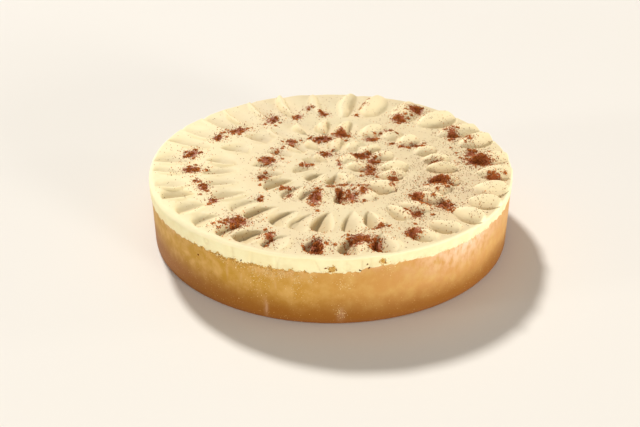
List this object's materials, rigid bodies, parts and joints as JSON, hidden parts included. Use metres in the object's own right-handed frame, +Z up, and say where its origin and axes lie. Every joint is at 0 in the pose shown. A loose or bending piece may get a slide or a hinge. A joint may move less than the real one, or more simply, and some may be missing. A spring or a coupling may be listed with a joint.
{
  "type": "banoffee pie",
  "caption": "Whole round banoffee pie: a smooth golden crust body under a layer of cream whose top is pressed into rings of dabs dusted with cinnamon.",
  "frame": {"origin": "middle of the pie's flat underside", "axes": "+Z up out of the cream top, -Y towards the side the picture is taken from, +X to its right"},
  "size_m": [0.24, 0.24, 0.0505],
  "materials": {
    "crust": "smooth pressed biscuit crust, golden, matt",
    "cream": "soft whipped cream, satin",
    "cinnamon": "dry ground cinnamon, matt"
  },
  "bodies": {
    "root": {"crust": "crust", "cream": "cream"}
  },
  "joints": []
}
